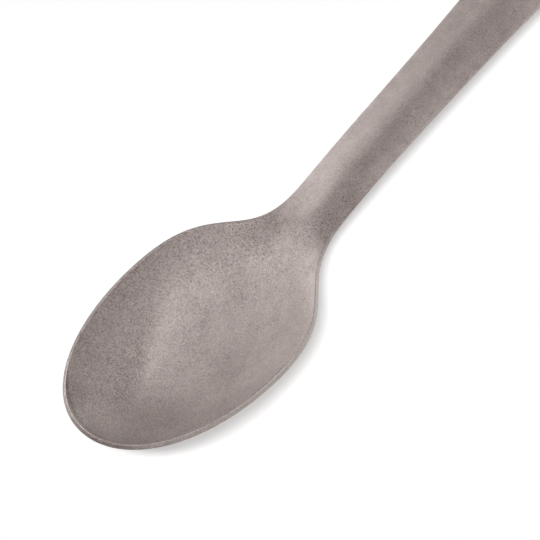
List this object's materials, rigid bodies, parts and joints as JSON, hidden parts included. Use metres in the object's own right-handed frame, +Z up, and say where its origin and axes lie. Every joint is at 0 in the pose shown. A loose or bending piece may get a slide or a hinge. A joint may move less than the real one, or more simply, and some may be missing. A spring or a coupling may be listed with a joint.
{
  "type": "camping spoon",
  "caption": "One-piece pressed metal camping spoon: egg-shaped bowl, narrow neck and long crowned handle with a hanging slot near its round end.",
  "frame": {"origin": "bottom centre of the bounding box, on the table that the spoon rests on", "axes": "+X along the spoon from the bowl's tip to the handle's end, +Z up with the bowl open upwards"},
  "size_m": [0.1674, 0.0386, 0.0201],
  "materials": {
    "titanium": "fine blasted, matt, warm grey"
  },
  "bodies": {
    "root": {"spoon": "titanium"}
  },
  "joints": []
}
